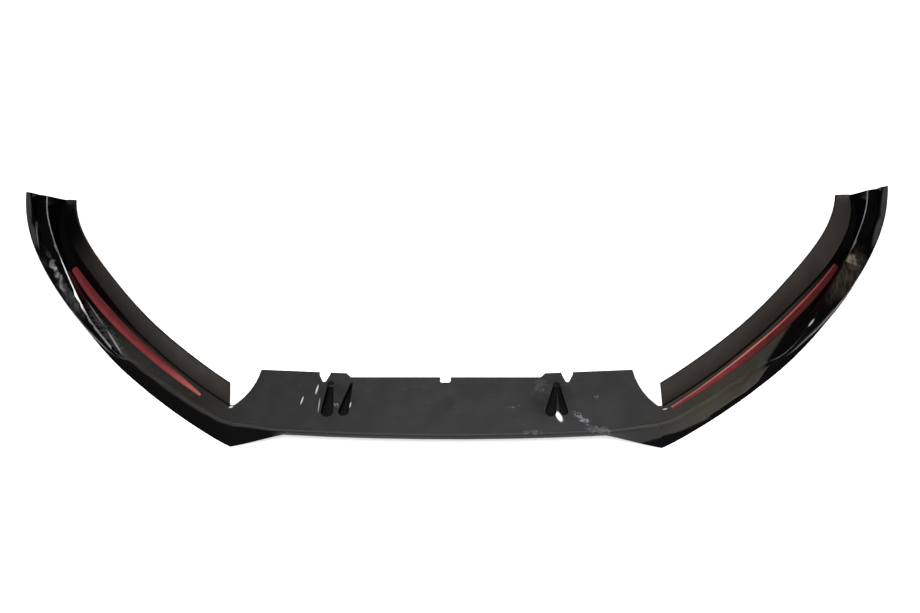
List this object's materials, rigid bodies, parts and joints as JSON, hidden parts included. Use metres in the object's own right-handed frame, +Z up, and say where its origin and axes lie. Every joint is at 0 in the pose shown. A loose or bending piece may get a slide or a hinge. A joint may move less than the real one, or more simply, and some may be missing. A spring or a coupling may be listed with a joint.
{
  "type": "front splitter lip",
  "caption": "Moulded front bumper lip with a flat centre plate, swept wings that end in raised fins, leaning rear walls and a red trim strip along each wing.",
  "frame": {"origin": "on the ground line, under the middle of the lip's box", "axes": "+X across the car, +Y rearward from the chins to the wing ends, +Z up"},
  "size_m": [1.75, 0.5849, 0.1217],
  "materials": {
    "black_moulding": "black moulded plastic, satin on the deck and walls and glossy on the fins",
    "red_trim": "glossy red"
  },
  "bodies": {
    "root": {"splitter_body": "black_moulding", "left_red_strip": "red_trim", "right_red_strip": "red_trim"}
  },
  "joints": []
}
